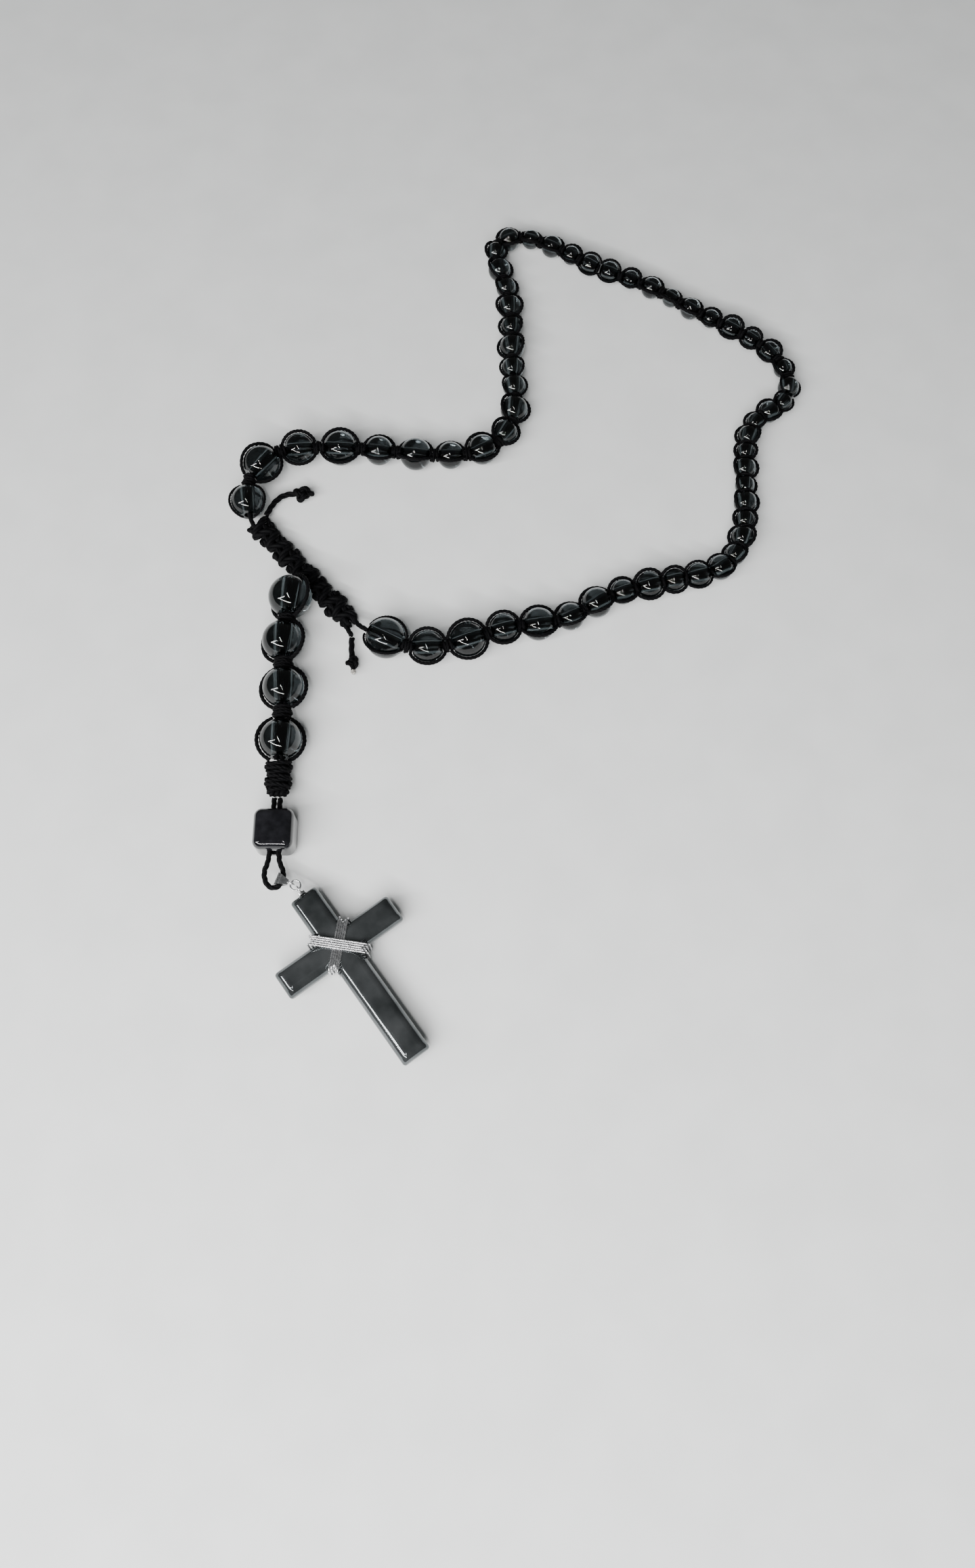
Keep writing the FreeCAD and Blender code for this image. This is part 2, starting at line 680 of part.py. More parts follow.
def wire_turn(half_length, half_height, offset):
    """One closed turn of wire round the crossing, in the plane of X and Z at Y = offset."""
    corner = size("wire_corner")
    points = []
    for x, z in ((1, 1), (-1, 1), (-1, -1), (1, -1)):
        points.append((Vector(x * half_length, offset, z * half_height), Vector(x, 0, z)))
    edges = []
    for (here, out), (after, out_after) in zip(points, points[1:] + points[:1]):
        along = unit(after - here)
        start = here + along * corner
        finish = after - along * corner
        edges.append(Part.LineSegment(start, finish).toShape())
        centre = after - Vector(out_after.x, 0, out_after.z) * corner
        next_start = Vector(after.x, offset, after.z - out_after.z * corner)
        if abs(along.z) > 0.5:
            next_start = Vector(after.x - out_after.x * corner, offset, after.z)
        middle = centre + unit(out_after) * corner
        edges.append(Part.Arc(finish, middle, next_start).toShape())
    ring = Part.Wire([
        Part.makeCircle(size("wire_dia") / 2, edges[0].Vertexes[0].Point, Vector(1, 0, 0))
    ])
    return Part.Wire(edges).makePipeShell([ring], True, False)


def wire_band(diagonal, layer):
    """Five turns side by side, from one inner corner of the cross to the opposite one."""
    corner = size("cross_arm_width") / 2 * math.sqrt(2)
    clear = size("wire_dia") / 2 + size("wire_clearance")
    rise = size("cross_thick") / 2 + clear + layer * (size("wire_dia") + 0.03)
    turns = []
    for index in range(-2, 3):
        offset = index * size("wire_spacing")
        reach = corner + abs(offset) + clear * math.sqrt(2) + layer * (size("wire_dia") + 0.1)
        turns.append(wire_turn(reach, rise, offset))
    band = Part.makeCompound(turns)
    centre = Vector(size("peg_reach") + size("cross_bar_drop"), 0, 0)
    band.Placement = FreeCAD.Placement(centre, FreeCAD.Rotation(UP, diagonal))
    return band


def add_strand():
    """The closed strand: its beads, its core cord and its side cords, decade by decade."""
    strand = Strand(STRAND_ROUTE)
    beads, ends = loop_beads(strand)
    pieces = add_loop_beads(beads)
    covers = []
    for decade, (start, finish) in enumerate(core_stretches(strand, ends)):
        core = strand.tube(start, finish, size("cord_dia"))
        pieces.append(add_shape(f"core_cord_decade_{decade + 1}", core))
        cover = strand.tube(start, finish, size("cord_dia") + size("side_cord_gap"))
        covers.append(cover)
        work = macrame(strand, beads, decade, cover, start, finish)
        pieces.append(add_shape(f"knotted_side_cords_decade_{decade + 1}", work))
    pieces.append(add_shape("closure_sliding_knots", closure_work([covers[0], covers[4]])))
    print("strand length", round(strand.length, 1), "gaps", [round(bead.gap, 2) for bead in beads])
    print("strand radii", [round(radius, 1) for radius in strand.radii])
    return strand, ends, pieces


def add_drop():
    """The four beads of the drop with their cords, the large knot and the cuboid bead."""
    pieces = []
    for index, place in enumerate(DROP_BEADS):
        foot = at(DROP_PIVOTS[index + 1]) if index < 3 else at(BLOCK_TOP)
        axis = unit(foot - at(DROP_PIVOTS[index]))
        radius = "dims.first_drop_bead_dia / 2" if index == 0 else "dims.drop_bead_dia / 2"
        frame = frame_along(at(place), axis)
        pieces.append(add_bead(f"drop_bead_{index + 1}", radius, "dims.drop_bore", frame))
        pieces.append(add_shape(f"drop_cords_{index + 1}", drop_cord_work(index)))
    pieces.append(add_shape("large_knot", large_knot()))
    pieces.append(add_shape("end_loop_cord", loop_cord()))
    pieces.append(add_cuboid())
    return pieces


def add_hardware():
    """The pinch bail, the link ring, the peg, the cross and the wire round its crossing."""
    bail_shape, bail_eye = bail()
    pinch_bail = add_shape("pinch_bail", bail_shape)
    pinch_bail.Placement = bail_frame()
    ring_centre = level_ring_centre(bail_frame().multVec(bail_eye))
    peg_eye = ring_centre + heading(CROSS_ANGLE + 5) * (size("ring_dia") / 2)
    frame = cross_frame(peg_eye)
    pieces = [pinch_bail, add_ring(ring_centre), add_peg(frame), add_cross(frame)]
    for label, diagonal, layer in (("lower_wire_wrap", -45, 0), ("upper_wire_wrap", 45, 1)):
        wrap = add_shape(label, wire_band(diagonal, layer))
        wrap.Placement = frame.multiply(wrap.Placement)
        pieces.append(wrap)
    return ring_centre, peg_eye, pieces


def check_objects():
    """Stops the build if any object failed or any shape is empty or faulty."""
    for thing in doc.Objects:
        if "Invalid" in thing.State or "Error" in thing.State:
            raise ValueError(f"{thing.Label} did not recompute: {thing.State}")
        shape = getattr(thing, "Shape", None)
        if thing is not dims and (shape.isNull() or not shape.isValid()):
            raise ValueError(f"{thing.Label} has a faulty shape")


fill_sheet()
strand, ends, nodes = add_strand()
nodes.append(add_shape("upper_tail", tail("upper_tail", UPPER_TAIL)))
nodes.append(add_shape("lower_tail", tail("lower_tail", LOWER_TAIL)))
nodes += add_drop()
ring_centre, peg_eye, hardware = add_hardware()
nodes += hardware
doc.recompute()
check_objects()
os.makedirs("parts", exist_ok=True)
for node in nodes:
    node.Shape.exportStep(f"parts/{node.Label}.step")
print("parts written", len(nodes))
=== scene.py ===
import math

import bmesh
import bpy
import numpy
from mathutils import Matrix, Vector


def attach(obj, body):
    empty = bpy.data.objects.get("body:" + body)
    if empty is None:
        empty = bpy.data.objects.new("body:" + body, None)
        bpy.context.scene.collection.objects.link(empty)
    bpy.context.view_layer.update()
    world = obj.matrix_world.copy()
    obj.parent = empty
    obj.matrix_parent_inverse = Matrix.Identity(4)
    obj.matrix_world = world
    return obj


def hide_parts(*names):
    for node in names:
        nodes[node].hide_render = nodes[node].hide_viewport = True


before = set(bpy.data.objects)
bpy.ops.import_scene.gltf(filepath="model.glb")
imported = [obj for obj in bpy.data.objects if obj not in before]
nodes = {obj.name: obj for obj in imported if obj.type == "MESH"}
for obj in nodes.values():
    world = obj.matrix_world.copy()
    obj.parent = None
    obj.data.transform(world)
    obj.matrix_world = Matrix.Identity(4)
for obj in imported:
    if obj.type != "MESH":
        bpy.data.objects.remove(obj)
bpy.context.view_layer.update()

# The rosary's looks. Glass, stone and metal pieces keep their CAD shape and get a material.
# Every cord is laid again here as twisted strands, along the same routes as the CAD's tubes.

MM = 0.001
SHIFT = (-0.36, -0.768)  # millimetres from the CAD's layout to the part's frame
UP = Vector((0, 0, 1))

# Cord routes in millimetres: the listed points of the CAD, before its shift.
STRAND_ROUTE = [
    (-46.4, -13.2, 2.4), (-46.9, -10.0, 2.4), (-73.8, 20.0, 2.4), (-76.6, 22.4, 4.5),
    (-78.6, 35.0, 5.1), (-72.4, 45.4, 5.5), (-60.0, 47.2, 5.3), (-46.5, 46.9, 5.0),
    (-34.5, 45.6, 4.8), (-23.0, 44.6, 4.6), (-12.5, 45.4, 4.4), (-5.0, 50.4, 4.3),
    (-1.4, 57.6, 4.2), (-0.6, 65.6, 4.1), (-1.7, 77.0, 3.9), (-1.4, 88.0, 3.7),
    (-2.2, 100.0, 3.6), (-3.4, 109.0, 3.5), (-7.2, 119.5, 3.5), (-5.2, 125.6, 3.4),
    (1.2, 127.6, 3.4), (9.0, 124.8, 3.4), (16.0, 121.0, 3.3), (24.0, 115.4, 3.3),
    (34.0, 111.4, 3.3), (43.5, 106.5, 3.3), (54.0, 98.6, 3.3), (66.5, 91.2, 3.3),
    (75.0, 85.0, 3.3), (80.2, 77.5, 3.3), (81.6, 69.5, 3.3), (79.0, 63.6, 3.4),
    (73.4, 60.6, 3.4), (68.8, 56.2, 3.4), (66.6, 48.5, 3.5), (65.5, 38.5, 3.6),
    (64.9, 26.0, 3.7), (63.2, 15.5, 3.8), (58.5, 8.6, 3.9), (51.0, 5.4, 4.0),
    (42.5, 3.9, 4.2), (31.0, 1.0, 4.3), (22.5, -2.2, 4.5), (15.5, -7.6, 4.6),
    (7.0, -10.2, 4.8), (-3.0, -11.0, 5.0), (-8.5, -12.8, 5.1), (-19.0, -17.0, 5.3),
    (-31.0, -18.2, 5.6), (-43.3, -11.4, 4.8), (-45.6, -8.4, 2.4), (-73.3, 24.3, 2.4),
    (-72.6, 26.0, 2.4),
]
UPPER_TAIL = [
    (-72.6, 26.0, 2.4), (-71.9, 27.8, 2.3), (-70.2, 31.2, 2.1), (-67.2, 33.6, 2.0),
    (-62.8, 33.5, 2.1),
]
LOWER_TAIL = [(-46.4, -13.2, 2.4), (-46.6, -16.0, 2.3), (-46.0, -20.6, 2.3)]
CLOSURE_ENDS = [(-75.0, 23.0, 2.4), (-46.1, -9.2, 2.4)]
DROP_PIVOTS = [
    (-63.1, 3.6, 6.4), (-64.0, -9.2, 6.1), (-64.3, -22.8, 5.7), (-63.7, -37.3, 5.7),
    (-63.7, -60.6, 4.6),
]
BLOCK_TOP = (-63.9, -50.6, 5.1)
LOOP_CORD = [
    (-64.51, -60.9, 4.6), (-64.51, -77.0, 4.75), (-66.3, -81.0, 4.3), (-64.9, -84.8, 4.1),
    (-61.9, -84.8, 4.0), (-60.6, -81.0, 4.2), (-62.99, -77.0, 4.75), (-62.99, -60.9, 4.6),
]

# Reading a bead from its CAD mesh: where its flat faces stand, which corners lie on its ball,
# and how often the fit of its centre is repeated. Corners closer than WELD are joined.
FACE_SHARE = math.sin(math.radians(62))
BALL_SHARE = 0.97
CENTRE_ROUNDS = 4
WELD = 0.002 * MM

# Paths and tubes. A path steeper than STEEP is framed from X and not from the vertical.
SPLINE_STEPS = 16
SPLINE_ORDER = 3
PATH_STEP = 0.3 * MM
CORE_STEP = 0.5 * MM
PLY_SIDES = 6
STEEP = 0.8

# A laid cord: the length of one turn in cord diameters, and a ply's radius as a share of the
# cord's radius.
LAY_LENGTH = 3.4
PLY_SHARE = 0.56

# Cords. Side cords next to a hinge are thinner, so that neighbours clear as the strand flexes.
CORD_RADIUS = 0.75 * MM
TAIL_RADIUS = 0.86 * MM
TWIN_RADIUS = 0.7 * MM
TWIN_OFFSET = 0.765 * MM
SIDE_CORD_RADIUS = 0.52 * MM
HINGE_CORD_RADIUS = 0.4 * MM
DROP_SIDE_RADIUS = 0.6 * MM
HINGE_GAP = 0.2 * MM
END_TRIM = 0.4 * MM

# Side cords over a bead: how far they stand off it in cord radii, where they start at its
# faces, and how far they lie above or below its middle, which changes from bead to bead.
ARC_CLEARANCE = 1.04
ARC_START = 1.5 * MM
ARC_START_SINE_MOST = 0.6
DROP_ARC_START = 2.2 * MM
SIDE_LIFT = math.radians(18)
SIDE_LIFT_SWING = math.radians(22)
SIDE_LIFT_RHYTHM = 0.9

# Pulled-tight knots: the spacing and lean of the turns in cord radii, and how turns vary. Two
# beads closer than KNOT_ROOM have a single turn between them.
KNOT_ROOM = 1 * MM
TURN_POINTS_LEAST = 12
TURN_SPACING = 1.7
TURN_LEAN = 0.35
TURN_BULGE = 0.1
TURN_RHYTHM = 2.1
TURN_RHYTHM_ALONG_X = 40

# Bars of square knots: points to a knot, the shape of a crossing, and how knots vary.
BAR_POINTS = 14
CROSSING_POWER = 0.7
CROSSING_RISE = 1.25
CROSSING_SINK = 0.25
BAR_BULGE = 0.12
BAR_RHYTHM = 1.7
LOOSE_FROM = 0.6
LOOSE_RHYTHM = 5.3

# Stop knots: a trefoil, which reaches three units from its middle, and is pressed flat.
TREFOIL_POINTS = 60
TREFOIL_REACH = 3
TREFOIL_FLATNESS = 2.4

# Cord ends past their stop knots.
TAIL_START = 0.1 * MM
STUB_LENGTH = 2.9 * MM
STUB_RADIUS = 0.7 * MM
CAP_RADIUS = 0.78 * MM
CAP_LUMP = 0.12
CAP_LUMP_RATES = (9000, 7000)

# The cross: faces flatter than FLAT_ANGLE are joined, edges sharper than SHARP_ANGLE rounded.
FLAT_ANGLE = math.radians(3)
SHARP_ANGLE = math.radians(25)
SHORT_EDGE = 1.4 * MM
CROSS_ROUNDING = 0.85 * MM

# The room, in metres, apart from the camera's place, which is in the CAD layout.
FLOOR_REACH = 6.0
TABLE_MIDDLE = (-0.02, -0.02, 0.0)
LEFT_STRIP_TURN = 64
NEAR_STRIP_TURN = -52
CAMERA_PLACE = (-9.0, -163.0, 296.0)
CAMERA_TILT = math.radians(20)
SENSOR_WIDTH = 36.0
LENS = 43.75

DECADE_BODIES = [
    "closure_side_of_strand", "second_decade", "third_decade", "fourth_decade",
    "closure_side_of_strand",
]
DROP_BODIES = ["first_drop_link", "second_drop_link", "third_drop_link", "fourth_drop_link"]
LAST_DECADE = len(DECADE_BODIES) - 1
LAST_DROP = len(DROP_BODIES) - 1


def at(place):
    """A place of the CAD layout in millimetres, as a place of the part's frame in metres."""
    return Vector((place[0] + SHIFT[0], place[1] + SHIFT[1], place[2])) * MM


# ---------------------------------------------------------------- paths


def nurbs_curve(name, places):
    """An open smooth spline with the route's points as its control points."""
    data = bpy.data.curves.new(name, "CURVE")
    data.dimensions = "3D"
    data.resolution_u = SPLINE_STEPS
    spline = data.splines.new("NURBS")
    spline.points.add(len(places) - 1)
    for point, place in zip(spline.points, places):
        point.co = (*at(place), 1)
    spline.order_u = SPLINE_ORDER
    spline.use_endpoint_u = True
    return bpy.data.objects.new(name, data)


def spline_points(places):
    """The points of the route's smooth spline, read from a curve with no bevel."""
    guide = nurbs_curve("guide", places)
    bpy.context.collection.objects.link(guide)
    bpy.context.view_layer.update()
    mesh = bpy.data.meshes.new_from_object(guide)
    points = [vertex.co.copy() for vertex in mesh.vertices]
    bpy.data.objects.remove(guide)
    bpy.data.meshes.remove(mesh)
    return points


class Path:
    """A polyline that is measured and cut by the length along it."""

    def __init__(self, points):
        self.points = points
        self.stations = [0.0]
        for before, after in zip(points, points[1:]):
            self.stations.append(self.stations[-1] + (after - before).length)
        self.length = self.stations[-1]

    def point(self, station):
        station = min(max(station, 0.0), self.length)
        index = int(numpy.searchsorted(self.stations, station)) or 1
        low = self.stations[index - 1]
        span = self.stations[index] - low
        share = (station - low) / span if span else 0
        return self.points[index - 1].lerp(self.points[index], share)

    def between(self, start, finish, step=PATH_STEP):
        count = max(int((finish - start) / step), 2)
        return [self.point(start + (finish - start) * k / count) for k in range(count + 1)]

    def nearest_station(self, place):
        gaps = [(point - place).length_squared for point in self.points]
        return self.stations[gaps.index(min(gaps))]


def frames_along(points, closed=False):
    """At each point, two directions across the path that turn as little as they can."""
    count = len(points)
    tangents = []
    for index in range(count):
        before = points[index - 1] if index or closed else points[0]
        after = points[(index + 1) % count] if index < count - 1 or closed else points[-1]
        tangents.append((after - before).normalized())
    start = UP if abs(tangents[0].z) < STEEP else Vector((1, 0, 0))
    across = start.cross(tangents[0]).normalized()
    frames = []
    for index, tangent in enumerate(tangents):
        if index:
            turn = tangents[index - 1].rotation_difference(tangent)
            across = (turn @ across).normalized()
        frames.append((across, tangent.cross(across)))
    return frames


def add_tube(mesh, points, radius, closed=False):
    """A round tube along a path, its ends closed if the path is open."""
    rings = []
    for point, (across, over) in zip(points, frames_along(points, closed)):
        ring = []
        for side in range(PLY_SIDES):
            angle = 2 * math.pi * side / PLY_SIDES
            spoke = across * math.cos(angle) + over * math.sin(angle)
            ring.append(mesh.verts.new(point + spoke * radius))
        rings.append(ring)
    pairs = list(zip(rings, rings[1:]))
    if closed:
        pairs.append((rings[-1], rings[0]))
    else:
        mesh.faces.new(list(reversed(rings[0])))
        mesh.faces.new(rings[-1])
    for first, second in pairs:
        for side in range(PLY_SIDES):
            after = (side + 1) % PLY_SIDES
            mesh.faces.new((first[side], first[after], second[after], second[side]))


def add_rope(mesh, points, radius, closed=False, plies=3):
    """A laid cord: plies twisted round the path, together as thick as the cord."""
    length = sum((after - before).length for before, after in zip(points, points[1:]))
    turns = max(round(length / (LAY_LENGTH * radius * 2)), 1)
    ply_radius = radius * PLY_SHARE
    offset = radius - ply_radius
    frames = frames_along(points, closed)
    count = len(points) if closed else len(points) - 1
    for ply in range(plies):
        strand = []
        for index, (point, (across, over)) in enumerate(zip(points, frames)):
            angle = 2 * math.pi * (ply / plies + turns * index / count)
            strand.append(point + (across * math.cos(angle) + over * math.sin(angle)) * offset)
        add_tube(mesh, strand, ply_radius, closed)


def add_piece(name, mesh, body, material, slot, *replaced):
    """Makes the object, smooth shaded, riding on a CAD body in place of CAD nodes."""
    bmesh.ops.recalc_face_normals(mesh, faces=mesh.faces)
    for face in mesh.faces:
        face.smooth = True
    data = bpy.data.meshes.new(name)
    mesh.to_mesh(data)
    mesh.free()
    data.materials.append(material)
    piece = bpy.data.objects.new(name, data)
    bpy.context.collection.objects.link(piece)
    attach(piece, body)
    if replaced:
        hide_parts(*replaced)
    return piece


# ---------------------------------------------------------------- materials


def new_material(name, color, roughness, metallic=0.0):
    material = bpy.data.materials.new(name)
    material.use_nodes = True
    shader = material.node_tree.nodes["Principled BSDF"]
    shader.inputs["Base Color"].default_value = (*color, 1)
    shader.inputs["Roughness"].default_value = roughness
    shader.inputs["Metallic"].default_value = metallic
    return material, shader


def noise(material, scale, detail=4.0):
    """Noise in the object's own coordinates, in metres."""
    tree = material.node_tree
    places = tree.nodes.new("ShaderNodeTexCoord")
    texture = tree.nodes.new("ShaderNodeTexNoise")
    texture.inputs["Scale"].default_value = scale
    texture.inputs["Detail"].default_value = detail
    tree.links.new(places.outputs["Object"], texture.inputs["Vector"])
    return texture.outputs["Fac"]


def ramp(material, source, low, high, first=0.35, last=0.65):
    """A colour that runs from low to high as the source does from first to last."""
    tree = material.node_tree
    node = tree.nodes.new("ShaderNodeValToRGB")
    node.color_ramp.elements[0].position = first
    node.color_ramp.elements[1].position = last
    node.color_ramp.elements[0].color = (*low, 1)
    node.color_ramp.elements[1].color = (*high, 1)
    tree.links.new(source, node.inputs["Fac"])
    return node.outputs["Color"]


def vary_roughness(material, shader, source, low, high):
    tree = material.node_tree
    node = tree.nodes.new("ShaderNodeMapRange")
    node.inputs["To Min"].default_value = low
    node.inputs["To Max"].default_value = high
    tree.links.new(source, node.inputs["Value"])
    tree.links.new(node.outputs["Result"], shader.inputs["Roughness"])


def add_bump(material, shader, source, strength, distance):
    tree = material.node_tree
    node = tree.nodes.new("ShaderNodeBump")
    node.inputs["Strength"].default_value = strength
    node.inputs["Distance"].default_value = distance
    tree.links.new(source, node.inputs["Height"])
    tree.links.new(node.outputs["Normal"], shader.inputs["Normal"])


def smoky_glass():
    material, shader = new_material("smoky_glass", color=(0.055, 0.065, 0.07), roughness=0.02)
    shader.inputs["Transmission Weight"].default_value = 1.0
    shader.inputs["IOR"].default_value = 1.5
    clouds = noise(material, scale=160.0)
    color = ramp(material, clouds, low=(0.034, 0.043, 0.046), high=(0.085, 0.1, 0.106))
    material.node_tree.links.new(color, shader.inputs["Base Color"])
    vary_roughness(material, shader, noise(material, scale=900.0), low=0.0, high=0.02)
    return material


def black_cord():
    material, shader = new_material("black_cord", color=(0.003, 0.003, 0.0035), roughness=0.55)
    fibres = noise(material, scale=5200.0, detail=6.0)
    color = ramp(material, fibres, low=(0.001, 0.001, 0.0012), high=(0.0045, 0.0045, 0.005))
    material.node_tree.links.new(color, shader.inputs["Base Color"])
    vary_roughness(material, shader, noise(material, scale=2500.0), low=0.45, high=0.75)
    add_bump(material, shader, fibres, strength=0.5, distance=0.0001)
    shader.inputs["Specular IOR Level"].default_value = 0.07
    return material


def melted_tip():
    material, shader = new_material("melted_tip", color=(0.5, 0.49, 0.46), roughness=0.35)
    spots = noise(material, scale=1800.0)
    color = ramp(material, spots, low=(0.05, 0.047, 0.044), high=(0.5, 0.48, 0.44))
    material.node_tree.links.new(color, shader.inputs["Base Color"])
    add_bump(material, shader, spots, strength=0.4, distance=0.0002)
    return material


def black_glass():
    material, shader = new_material("black_glass", color=(0.004, 0.004, 0.005), roughness=0.04)
    shader.inputs["Coat Weight"].default_value = 0.6
    shader.inputs["Coat Roughness"].default_value = 0.02
    smudge = noise(material, scale=350.0)
    vary_roughness(material, shader, smudge, low=0.02, high=0.1)
    color = ramp(material, smudge, low=(0.003, 0.003, 0.004), high=(0.009, 0.009, 0.011))
    material.node_tree.links.new(color, shader.inputs["Base Color"])
    return material


def silver(name, roughness):
    material, shader = new_material(name, (0.86, 0.86, 0.87), roughness, metallic=1.0)
    tarnish = noise(material, scale=700.0)
    color = ramp(material, tarnish, low=(0.66, 0.66, 0.67), high=(0.93, 0.93, 0.94))
    material.node_tree.links.new(color, shader.inputs["Base Color"])
    smears = noise(material, scale=2200.0)
    vary_roughness(material, shader, smears, low=0.6 * roughness, high=1.7 * roughness)
    add_bump(material, shader, noise(material, scale=4000.0), strength=0.08, distance=0.00005)
    return material


def hematite():
    material, shader = new_material("hematite", (0.1, 0.105, 0.11), 0.08, metallic=0.85)
    veins = noise(material, scale=120.0, detail=8.0)
    color = ramp(material, veins, low=(0.07, 0.078, 0.08), high=(0.17, 0.18, 0.185))
    material.node_tree.links.new(color, shader.inputs["Base Color"])
    vary_roughness(material, shader, noise(material, scale=260.0), low=0.04, high=0.16)
    add_bump(material, shader, noise(material, scale=110.0, detail=1.0), strength=0.12, distance=0.0009)
    return material


def paint(node, material):
    for slot in nodes[node].material_slots:
        slot.material = material


# ---------------------------------------------------------------- the beads as the CAD has them


class Bead:
    """One bead as its CAD solid has it: centre, radius, and half its length along the bore."""

    def __init__(self, places):
        cloud = numpy.array([tuple(place) for place in places])
        centre = cloud.mean(axis=0)
        for _ in range(CENTRE_ROUNDS):
            gaps = numpy.linalg.norm(cloud - centre, axis=1)
            ball = cloud[gaps > BALL_SHARE * gaps.max()]
            fit = numpy.linalg.lstsq(
                numpy.c_[2 * ball, numpy.ones(len(ball))], (ball ** 2).sum(axis=1), rcond=None
            )[0]
            centre = fit[:3]
        self.centre = Vector(centre)
        self.radius = float(numpy.linalg.norm(cloud - centre, axis=1).max())
        self.half = FACE_SHARE * self.radius
        self.axis = None

    def turn_to(self, path):
        """Lays the bore along a path that passes through the bead."""
        self.station = path.nearest_station(self.centre)
        ahead = path.point(self.station + self.half)
        self.axis = (ahead - path.point(self.station - self.half)).normalized()


def beads_of(node):
    """The beads in a CAD node, whose separate solids are told apart by their joined faces."""
    mesh = bmesh.new()
    mesh.from_mesh(nodes[node].data)
    bmesh.ops.remove_doubles(mesh, verts=mesh.verts, dist=WELD)
    left = set(mesh.verts)
    found = []
    while left:
        group = []
        front = [left.pop()]
        while front:
            vertex = front.pop()
            group.append(vertex.co.copy())
            for edge in vertex.link_edges:
                other = edge.other_vert(vertex)
                if other in left:
                    left.remove(other)
                    front.append(other)
        found.append(Bead(group))
    mesh.free()
    return found


# ---------------------------------------------------------------- knots and side cords


def add_arc(mesh, bead, out, end_angle, radius):
    """A side cord laid over one side of a bead, from knot to knot."""
    ring = bead.radius + radius * ARC_CLEARANCE
    count = int(ring * (math.pi - 2 * end_angle) / PATH_STEP)
    points = []
    for k in range(count + 1):
        angle = end_angle + (math.pi - 2 * end_angle) * k / count
        along = bead.axis * ring * math.cos(angle)
        points.append(bead.centre - along + out * ring * math.sin(angle))
    add_rope(mesh, points, radius)


def add_wrap(mesh, centre, axis, half_width, half_height, lean, radius):
    """One closed turn of cord round an axis, leaning forward on one side."""
    level = UP.cross(axis).normalized()
    over = axis.cross(level)
    count = max(int(math.pi * (half_width + half_height) / PATH_STEP), TURN_POINTS_LEAST)
    points = []
    for k in range(count):
        angle = 2 * math.pi * k / count
        points.append(
            centre + level * half_width * math.cos(angle) + over * half_height * math.sin(angle)
            + axis * lean * math.cos(angle)
        )
    add_rope(mesh, points, radius, closed=True)


def add_knot(mesh, start, finish, half_width, half_height, radius):
    """A pulled-tight square knot: turns side by side that lean to and fro."""
    axis = (finish - start).normalized()
    length = (finish - start).length
    count = max(round(length / (TURN_SPACING * radius)), 1)
    for index in range(count):
        centre = start.lerp(finish, (index + 0.5) / count)
        lean = TURN_LEAN * radius * (1 if index % 2 else -1)
        phase = TURN_RHYTHM * index + TURN_RHYTHM_ALONG_X * start.x / MM
        bulge = 1 + TURN_BULGE * math.sin(phase)
        add_wrap(mesh, centre, axis, half_width * bulge, half_height, lean, radius)


def add_sinnet(mesh, start, finish, half_width, half_height, radius, pitch, looseness=0.0):
    """A bar of flat square knots: one cord crosses the front, the other the back, in turn.

    Looseness makes the knots past LOOSE_FROM of the bar's length uneven in width.
    """
    axis = (finish - start).normalized()
    level = UP.cross(axis).normalized()
    over = axis.cross(level)
    count = int((finish - start).length / pitch)
    for face in (1, -1):
        points = []
        for k in range(count * BAR_POINTS + 1):
            step = k / BAR_POINTS
            swing = math.cos(math.pi * step)
            rise = abs(math.sin(math.pi * step)) ** CROSSING_POWER
            loose = 1 + looseness * max(step / count - LOOSE_FROM, 0) * math.sin(LOOSE_RHYTHM * step)
            bulge = (1 + BAR_BULGE * math.sin(BAR_RHYTHM * round(step))) * loose
            height = face * half_height * (rise * CROSSING_RISE - CROSSING_SINK)
            points.append(
                start + axis * (step * pitch) + level * face * half_width * swing * bulge
                + over * max(min(height, half_height), -half_height)
            )
        path = Path(points)
        add_rope(mesh, path.between(0, path.length), radius)


def overhand_knot(mesh, centre, axis, reach, radius):
    """A stop knot: a cord that passes three times through its own loop, pulled into an oval."""
    level = UP.cross(axis).normalized()
    over = axis.cross(level)
    points = []
    for k in range(TREFOIL_POINTS):
        angle = 2 * math.pi * k / TREFOIL_POINTS
        along = math.sin(angle) + 2 * math.sin(2 * angle)
        across = math.cos(angle) - 2 * math.cos(2 * angle)
        height = -math.sin(3 * angle)
        points.append(
            centre + axis * along * reach / TREFOIL_REACH + level * across * reach / TREFOIL_REACH
            + over * height * reach / TREFOIL_FLATNESS
        )
    add_rope(mesh, points, radius, closed=True)


# ---------------------------------------------------------------- the loop


def loop_beads(strand):
    """All beads of the loop, in order along the strand, with their decade."""
    beads = []
    for name in nodes:
        if name.startswith("decade_"):
            for bead in beads_of(name):
                bead.decade = int(name.split("_")[1]) - 1
                bead.turn_to(strand)
                beads.append(bead)
    beads.sort(key=lambda bead: bead.station)
    return beads


